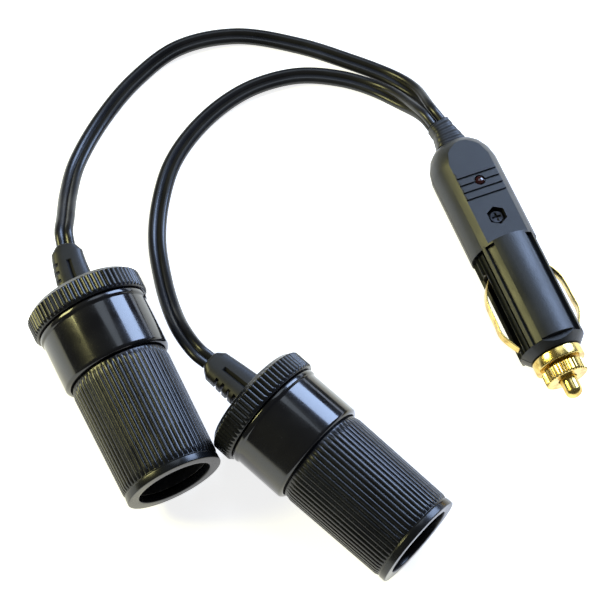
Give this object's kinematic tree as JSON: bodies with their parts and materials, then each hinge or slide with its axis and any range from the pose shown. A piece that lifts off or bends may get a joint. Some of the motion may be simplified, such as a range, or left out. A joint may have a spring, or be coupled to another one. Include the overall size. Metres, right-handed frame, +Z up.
{
  "type": "car socket splitter",
  "caption": "Car lighter plug with a fuse, wired by flat twin cords to cylindrical lighter sockets with ribbed barrels.",
  "frame": {"origin": "on the table under the middle of the box round the plug and the sockets, cords left out", "axes": "+Z up from the table the splitter lies on, the plug's tip points along -Y, +X from the sockets towards the plug"},
  "size_m": [0.1478, 0.1848, 0.0346],
  "materials": {
    "plug_moulding": "fine grained black moulding",
    "socket_moulding": "semi-gloss black moulding",
    "gloss_collar": "polished black moulding",
    "boot_rubber": "satin soft moulding",
    "cord_sheath": "semi-gloss flexible sheath",
    "plated_brass": "bright gold-coloured plating",
    "nickel_plate": "nickel plated",
    "screw_steel": "blackened steel",
    "fuse_glass": "clear",
    "red_lens": "clear dark red lens",
    "resistor_body": "lacquered",
    "fibre_board": "pressed fibre",
    "red_wire": "insulated wire",
    "black_wire": "insulated wire"
  },
  "bodies": {
    "root": {"plug_upper_shell": "plug_moulding", "plug_lower_shell": "plug_moulding", "plug_screw": "screw_steel", "led_lens": "red_lens", "led_resistor": "resistor_body", "plug_strain_relief": "boot_rubber", "fuse_spring": "screw_steel", "rear_contact": "plated_brass", "nose_bush": "plated_brass", "ground_ring": "plated_brass", "plug_live_wire": "red_wire", "plug_ground_wire": "black_wire", "left_end_cap": "socket_moulding", "left_collar": "gloss_collar", "left_barrel": "socket_moulding", "left_liner": "nickel_plate", "left_insulator": "fibre_board", "left_rear_washer": "fibre_board", "left_centre_contact": "plated_brass", "left_ground_tab": "nickel_plate", "left_strain_relief": "boot_rubber", "left_live_wire": "red_wire", "left_ground_wire": "black_wire", "right_end_cap": "socket_moulding", "right_collar": "gloss_collar", "right_barrel": "socket_moulding", "right_liner": "nickel_plate", "right_insulator": "fibre_board", "right_rear_washer": "fibre_board", "right_centre_contact": "plated_brass", "right_ground_tab": "nickel_plate", "right_strain_relief": "boot_rubber", "right_live_wire": "red_wire", "right_ground_wire": "black_wire", "cord_left": "cord_sheath", "cord_right": "cord_sheath"},
    "tip_cap": {"tip_cap": "plated_brass"},
    "contact_pin": {"contact_pin": "plated_brass", "fuse_glass": "fuse_glass", "fuse_cap_rear": "nickel_plate", "fuse_cap_front": "nickel_plate"},
    "side_contact_left": {"side_contact_left": "plated_brass"},
    "side_contact_right": {"side_contact_right": "plated_brass"}
  },
  "joints": [
    {"name": "tip_cap_removal", "type": "slide", "parent": "root", "child": "tip_cap", "axis": [0, -1, 0], "range_m": [0, 0.009]},
    {"name": "pin_press", "type": "slide", "parent": "tip_cap", "child": "contact_pin", "axis": [0, 1, 0], "range_m": [0, 0.003], "stiffness_N_per_m": 600, "springref_m": -0.002, "deforming": ["fuse_spring"]},
    {"name": "left_contact_flex", "type": "hinge", "parent": "root", "child": "side_contact_left", "pos_m": [0.0521, -0.01435, 0.0111], "axis": [-0.0872, 0, -0.9962], "range_deg": [0, 7], "stiffness_Nm_per_rad": 0.3, "springref_deg": -2.86},
    {"name": "right_contact_flex", "type": "hinge", "parent": "root", "child": "side_contact_right", "pos_m": [0.07063, -0.01435, 0.00948], "axis": [0.0872, 0, 0.9962], "range_deg": [0, 7], "stiffness_Nm_per_rad": 0.3, "springref_deg": -2.86}
  ]
}
